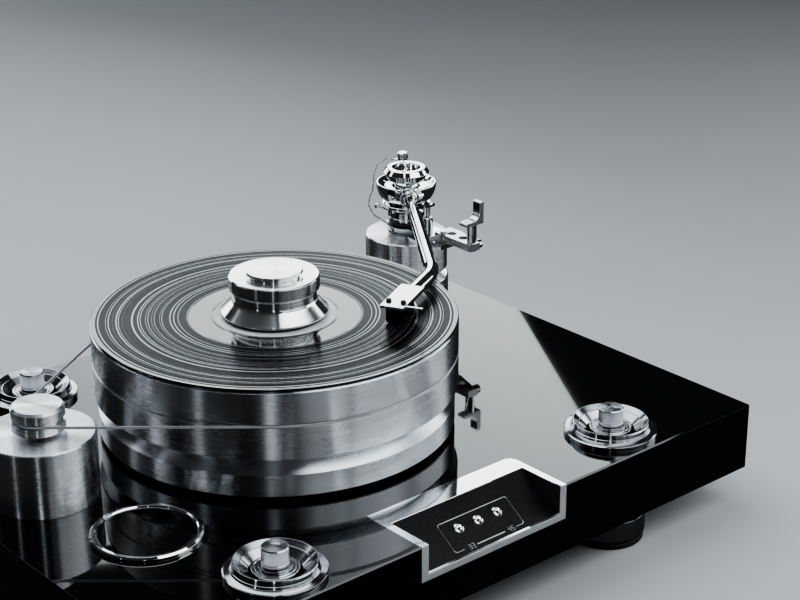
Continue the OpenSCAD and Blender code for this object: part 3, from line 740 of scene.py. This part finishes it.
turned("arm_block_turning", [(0, 75), (4, 75), (4, 92.6), (9, 92.6), (9, 96), (22.8, 96), (23.1, 96.3),
                             (23.1, 96.7), (22.8, 97), (11.5, 97), (11.5, 120.3), (0, 120.3)],
       ARM, "arm_yoke", CHROME, "arm_block", 128, 0.15)
turned("arm_cap_turning", [(4, 120.3), (18.8, 120.3), (18.8, 126.2), (21.5, 126.4), (21.8, 126.7),
                           (21.8, 127.2), (18.9, 131.1), (18.1, 131.6), (13.8, 131.6), (13.4, 131.2),
                           (13.4, 122.6), (4, 122.6)],
       ARM, "arm_yoke", CHROME, "bearing_cap", 160, 0.2, 25)
turned("arm_bowl_turning", [(13.2, 98.4), (17.5, 98.4), (20.2, 99.2), (22.8, 101), (24.8, 103.4),
                            (26.4, 106.4), (27.6, 110), (28.4, 113.6), (28.8, 116.7), (28.3, 117.3),
                            (27, 117.3), (26.2, 116.6), (24, 114.6), (20.5, 113.4), (13.2, 113)],
       ARM, "arm", CHROME, "bearing_bowl", 160, 0.8, 40)


ARM_FRAME = stand(PIVOT, 0, ARM_HEADING)
HEAD_FRAME = ARM_FRAME @ Matrix.Translation((ELBOW * MM, 0, 0)) @ Matrix.Rotation(-BEND, 4, "Z")
# Lays a lathe's axis along the frame's X
LIE_DOWN = Matrix.Rotation(math.pi / 2, 4, "Y")
TUBE_START = 32.0
TUBE_R = (5.5, 6.2)
TUBE_WALL_R = 4.9
TUBE_SIDES = 64
BEND_R = 60
HEAD_SEAT = 56.2
HEAD_FLAT_Z = 113.8


def arm_tube():
    """The J-shaped tube and its collar rings, widening to the head and flat where the headshell sits."""
    run = BEND_R * math.tan(BEND / 2)
    straight_end = ELBOW - run
    straight, curved, head = 24, 16, 14
    path, radii = [], []
    for i in range(straight + 1):
        t = i / straight
        path.append(ARM_FRAME @ (Vector((TUBE_START + (straight_end - TUBE_START) * t, 0, ARM_Z)) * MM))
        radii.append(TUBE_R[0] + (TUBE_R[1] - TUBE_R[0]) * t)
    for i in range(1, curved + 1):
        a = BEND * i / curved
        bend = Vector((straight_end + BEND_R * math.sin(a), BEND_R * math.cos(a) - BEND_R, ARM_Z))
        path.append(ARM_FRAME @ (bend * MM))
        radii.append(TUBE_R[1] + 0.02)
    for i in range(1, head + 1):
        path.append(HEAD_FRAME @ (Vector((run + (HEAD_SEAT - run) * i / head, 0, ARM_Z)) * MM))
        radii.append(TUBE_R[1])
    bm = bmesh.new()
    rings = add_tube(bm, path, radii, TUBE_SIDES, cap=False)
    inner = add_tube(bm, path[-head:], [TUBE_WALL_R] * head, TUBE_SIDES, cap=False)
    for k in range(TUBE_SIDES):
        j = (k + 1) % TUBE_SIDES
        bm.faces.new([rings[-1][k], rings[-1][j], inner[-1][j], inner[-1][k]])
    bm.faces.new(inner[0])
    bm.faces.new(rings[0])
    for wall, height in ((rings, HEAD_FLAT_Z), (inner, HEAD_FLAT_Z - 0.6)):
        for ring in wall[-3:]:
            for v in ring:
                v.co.z = min(v.co.z, DECK + height * MM)
    place = ARM_FRAME @ Matrix.Translation((0, 0, ARM_Z * MM)) @ LIE_DOWN
    add_lathe(bm, [(0, 22), (3, 22), (3, 26.6), (8.9, 26.6), (9.3, 27), (9.3, 28.6), (8.9, 29), (7.6, 29),
                   (7.4, 28.7), (7, 28.9), (7, 31), (6.6, 31.4), (6.2, 31.4), (6.2, 31.9), (6.6, 32.1),
                   (6.6, 33.2), (6.2, 33.6), (0, 33.6)], place, 96, 0.15)
    return new_piece("arm_tube_swept", finish_mesh(bm, "arm_tube_swept", 30), "arm", CHROME,
                     "arm_tube")


arm_tube()
milled("headshell", "arm", WHITE_SATIN, 0.25)
milled("cartridge", "arm", CARTRIDGE_BLACK, 0.25)


SCREW_SPACING = 12.7
SCREW_X = 86.2
SCREW_Z = 109.8


def cartridge_screws():
    """The two socket screws that hold the cartridge, at the usual spacing."""
    bm = bmesh.new()
    for y in (-SCREW_SPACING / 2, SCREW_SPACING / 2):
        place = HEAD_FRAME @ Matrix.Translation((SCREW_X * MM, y * MM, SCREW_Z * MM))
        add_lathe(bm, [(0, 0), (1.25, 0), (1.25, 6.2), (2.3, 6.2), (2.3, 7.5), (1.9, 8.1), (1.1, 8.1),
                       (1.1, 7.3), (0, 7.3)], place, 32, 0.12)
    new_piece("cartridge_screw_pair", finish_mesh(bm, "cartridge_screw_pair", 30), "arm",
              BLACK_METAL, "cartridge_screws")


cartridge_screws()

WEIGHT_FROM = 34
WEIGHT_Z = 99


def counterweight():
    """The balance weight; its stub passes through it above its own axis."""
    bm = bmesh.new()
    behind = stand(PIVOT, 0, ARM_HEADING + math.pi)
    place = behind @ Matrix.Translation((WEIGHT_FROM * MM, 0, WEIGHT_Z * MM)) @ LIE_DOWN
    add_lathe(bm, [(0, 0), (15.2, 0), (16, 0.8), (16, 6), (15.7, 6.3), (15.7, 6.9), (16, 7.2), (16, 21.2),
                   (15.2, 22), (5, 22), (4.4, 21.4), (0, 21.4)], place, 128, 0.2)
    return new_piece("counterweight_turning", finish_mesh(bm, "counterweight_turning", 30), "balance_weight",
                     CHROME, "counterweight")


counterweight()

KNOB_LEAN = 3.3
KNURLS = 28
CLIP_SLOPE_FROM = 8
CLIP_MIDDLE_Z = 139
CLIP_DROP = 1.4


def pivot_needle():
    """The slanting needle in the cap, the knurled knob on it and the clip that holds the lead wire."""
    bm = bmesh.new()
    place = stand(PIVOT, 0, WIRE_HEADING)
    add_lathe(bm, [(0, 120.3), (4, 120.3), (4, 127), (1.6, 129.4), (0, 129.4)], place, 48, 0.2)
    slant = place @ Matrix.Translation((0, 0, 128 * MM)) @ Matrix.Rotation(math.atan2(KNOB_LEAN, 12), 4, "Y")
    add_lathe(bm, [(0, 0), (1.1, 0), (1.1, 12), (0, 12)], slant, 24, 0)
    knob = place @ Matrix.Translation((KNOB_LEAN * MM, 0, 0))
    add_lathe(bm, [(0, 138.7), (4.4, 138.7), (5, 139.3), (5, 145.3), (4.4, 146), (0, 146)], knob, 64, 0.2)
    for number in range(KNURLS):
        turn = knob @ Matrix.Rotation(2 * math.pi * number / KNURLS, 4, "Z")
        add_block(bm, (4.8, -0.28, 139.8), (5.2, 0.28, 144.8), turn)
    clip = add_block(bm, (6.5, -1.6, 137.4), (11, 1.6, 140.6), place)
    for v in clip:
        local = place.inverted() @ v.co
        if local.x > CLIP_SLOPE_FROM * MM and local.z > CLIP_MIDDLE_Z * MM:
            v.co.z -= CLIP_DROP * MM
    new_piece("pivot_needle_turning", finish_mesh(bm, "pivot_needle_turning", 30), "arm_yoke",
              CHROME, "pivot_needle")


pivot_needle()

# ---------------------------------------------------------------- control panel

PANEL_FOOT = Vector((0, -227.9, 67.8))
PANEL_TOP = Vector((0, -188.1, 94))
PANEL_RISE = PANEL_TOP - PANEL_FOOT
PANEL = Matrix.Translation(PANEL_FOOT * MM) @ Matrix.Rotation(math.atan2(PANEL_RISE.z, PANEL_RISE.y), 4, "X")
BUTTONS = {"left": -14.2, "middle": 6.0, "right": 26.2}
BUTTON_UP = 23
BUTTON = [(0, -6.2), (1.6, -6.2), (1.6, -3.6), (6, -3.6), (6, -2.6), (4.7, -2.6), (4.7, 0.9), (4.45, 1.6),
          (3.9, 2.2), (3.1, 2.55), (2.4, 2.5), (1.8, 2.2), (1.1, 1.95), (0, 1.85)]
for side, x in BUTTONS.items():
    turned("button_" + side + "_dome", BUTTON, PANEL @ Matrix.Translation((x * MM, BUTTON_UP * MM, 0)),
           side + "_button", CHROME, "button_" + side, 96, 0.1)


def add_ink(bm, low, high):
    """A printed mark on the panel; its corners are X and the distance down from the panel's upper edge."""
    reach = PANEL_RISE.length
    add_block(bm, (low[0], reach - high[1], -0.05), (high[0], reach - low[1], 0.06), PANEL)


def seven_segments(bm, digit, x, y, size):
    """A number drawn with plain strokes, lettered as on a seven-segment display."""
    strokes = {"3": "abgcd", "4": "fgbc", "5": "afgcd"}[digit]
    w, h, t = size * 0.55, size, 0.38
    places = {"a": (0, 0, w, t), "b": (w - t, 0, w, h / 2), "c": (w - t, h / 2, w, h), "d": (0, h - t, w, h),
              "f": (0, 0, t, h / 2), "g": (0, h / 2 - t / 2, w, h / 2 + t / 2)}
    for stroke in strokes:
        x0, y0, x1, y1 = places[stroke]
        add_ink(bm, (x + x0, y + y0), (x + x1, y + y1))


def panel_graphics():
    """The frame round the buttons, the speed line and the two speed numbers."""
    bm = bmesh.new()
    left, right, top, bottom, corner = -29.5, 43.0, 15.0, 42.0, 3.0
    hairline = 0.16
    arc_steps = 5
    add_ink(bm, (left + corner, top), (right - corner, top + 0.7))
    for x in (left, right - hairline):
        add_ink(bm, (x, top + corner), (x + hairline, bottom - corner))
    add_ink(bm, (left + corner, bottom - 0.45), (left + 9, bottom))
    add_ink(bm, (right - 9, bottom - 0.45), (right - corner, bottom))
    for x, y in ((left, top), (right, top), (right, bottom), (left, bottom)):
        sx, sy = (1 if x == left else -1), (1 if y == top else -1)
        for step in range(arc_steps):
            ends = [math.pi / 2 * (step + k) / arc_steps for k in (0, 1)]
            xs = [x + sx * corner * (1 - math.cos(t)) for t in ends]
            ys = [y + sy * corner * (1 - math.sin(t)) for t in ends]
            add_ink(bm, (min(xs) - hairline / 2, min(ys) - hairline / 2),
                    (max(xs) + hairline / 2, max(ys) + hairline / 2))
    add_ink(bm, (-7, bottom - 0.6), (22, bottom + 0.4))
    for digit, x in (("3", -15.5), ("3", -12.0), ("4", 26.0), ("5", 29.5)):
        seven_segments(bm, digit, x, bottom - 2.4, 4.4)
    new_piece("panel_marks", finish_mesh(bm, "panel_marks", 30), "root", INK)


panel_graphics()

# ---------------------------------------------------------------- carried-over CAD nodes

CARRIED = {"base_plate": BLACK_METAL, "base_screws": FASTENER, "control_panel": BLACK_PLASTIC,
           "control_board": CIRCUIT, "signal_sockets": GILT, "power_inlet": BLACK_METAL,
           "foot_isolators": RUBBER, "main_bearing_housing": BRASS, "thrust_ball": CERAMIC,
           "motor": BLACK_METAL, "drive_belt": BELT, "arm_screws": FASTENER, "rest_post": CHROME,
           "cue_dashpot": CHROME, "bearing_spindle": CHROME, "pivot_pins": FASTENER, "stylus": DARK_METAL}
for node, material in CARRIED.items():
    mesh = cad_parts[node].data
    mesh.materials.clear()
    mesh.materials.append(material)

# ---------------------------------------------------------------- floor and light

FLOOR_HALF = 15
AIM = Vector((0, 0, 0.1))
COOL_WHITE = (0.925, 0.972, 1.0)
DARK_ROOM = (0.03, 0.031, 0.033)


def add_floor():
    """A plain pale floor, left out of mirror reflections so that the gloss shows the dark room."""
    bm = bmesh.new()
    bmesh.ops.create_grid(bm, x_segments=1, y_segments=1, size=FLOOR_HALF)
    floor = bpy.data.objects.new("studio_floor", finish_mesh(bm, "studio_floor"))
    scene.collection.objects.link(floor)
    g = Graph("studio_floor", (0.62, 0.62, 0.63), 0.0, 0.65)
    g.drive("Base Color", g.mix(g.noise(3, 3), (0.6, 0.6, 0.61), (0.64, 0.64, 0.65)))
    floor.data.materials.append(g.material)
    floor.visible_glossy = False


def direction(azimuth, elevation):
    """Unit vector; azimuth 0 is +Y and 90 is +X."""
    a, e = math.radians(azimuth), math.radians(elevation)
    return Vector((math.sin(a) * math.cos(e), math.cos(a) * math.cos(e), math.sin(e)))


def add_panel(name, centre, turn, size, radiance, spread):
    """A rectangular light; radiance is what a mirror shows of it, spread its beam's angle in degrees."""
    light = bpy.data.lights.new(name, "AREA")
    light.shape = "RECTANGLE"
    light.size, light.size_y = size
    light.energy = radiance * math.pi * size[0] * size[1]
    light.spread = math.radians(spread)
    light.color = COOL_WHITE
    lamp = bpy.data.objects.new(name, light)
    scene.collection.objects.link(lamp)
    lamp.matrix_world = Matrix.Translation(centre) @ turn.to_4x4()
    lamp.visible_camera = False


def softbox(name, azimuth, elevation, distance, size, radiance):
    """A soft panel in a direction from the object, facing it."""
    away = direction(azimuth, elevation)
    add_panel(name, AIM + away * distance, away.to_track_quat("Z", "Y").to_matrix(), size, radiance, 180)


def mirrored_softbox(name, corner, below, beside, distances, radiance, spread):
    """A panel set by where its corners show in the deck: directions from the camera's mirror image."""
    eye = Vector((CAMERA_AT.x, CAMERA_AT.y, 2 * DECK - CAMERA_AT.z))
    top = direction(*corner) * distances[0]
    down = direction(*below) * distances[1] - top
    ray = direction(*beside)
    across = ray * (top.dot(down) / ray.dot(down)) - top
    x_axis, y_axis = across.normalized(), -down.normalized()
    turn = Matrix((x_axis, y_axis, x_axis.cross(y_axis))).transposed()
    if turn.col[2].dot(top) < 0:
        turn = turn @ Matrix.Rotation(math.pi, 3, "Y")
    centre = eye + top + (down + across) / 2
    add_panel(name, centre, turn, (across.length, down.length), radiance, spread)


def level_softbox(name, corner, along, across, height, radiance):
    """A level panel overhead: a corner and two sides, each as metres towards the camera and to its right."""
    towards = Vector((-math.sin(CAMERA_AZIMUTH), -math.cos(CAMERA_AZIMUTH), 0))
    right = Vector((math.cos(CAMERA_AZIMUTH), -math.sin(CAMERA_AZIMUTH), 0))

    def place(pair):
        return towards * pair[0] + right * pair[1]

    u, v = place(along), place(across)
    turn = Matrix((u.normalized(), v.normalized(), u.cross(v).normalized())).transposed()
    if turn.col[2].z < 0:
        turn = turn @ Matrix.Rotation(math.pi, 3, "Y")
    centre = Vector((*SPINDLE, height)) + place(corner) + (u + v) / 2
    add_panel(name, centre, turn, (u.length, v.length), radiance, 180)


add_floor()
mirrored_softbox("back_panel", (48.6, 28.0), (40.2, 15.5), (20, 29.5), (3.6, 3.35), 2.0, 150)
level_softbox("front_top_panel", (0.50, 0.14), (-0.9, 1.44), (0.85, 0.53), 1.1, 2.2)
level_softbox("left_top_panel", (0.40, 0.0), (-0.85, -1.36), (-0.85, 0.53), 1.1, 1.7)
# Name, azimuth and elevation in degrees, distance and size in metres, radiance
for panel in (("back_left_panel", 4, 13, 3.4, (1.7, 1.4), 2.0),
              ("right_panel", 108, 14, 2.2, (1.3, 1.1), 2.2),
              ("front_right_panel", 150, 4, 2.6, (2.2, 0.9), 2.4),
              ("front_panel", 190, 4, 2.6, (1.5, 0.9), 0.8),
              ("front_gap_strip", 182, 4, 2.5, (0.3, 0.9), 1.0),
              ("camera_strip", 221, 6, 3.0, (0.16, 1.5), 3.6),
              ("left_strip", 263, 6, 3.0, (0.12, 1.4), 3.6)):
    softbox(*panel)

world = bpy.data.worlds.new("studio")
scene.world = world
world.use_nodes = True
background = world.node_tree.nodes["Background"]
background.inputs["Color"].default_value = (*DARK_ROOM, 1)
background.inputs["Strength"].default_value = 1.0

scene.view_settings.look = "AgX - High Contrast"
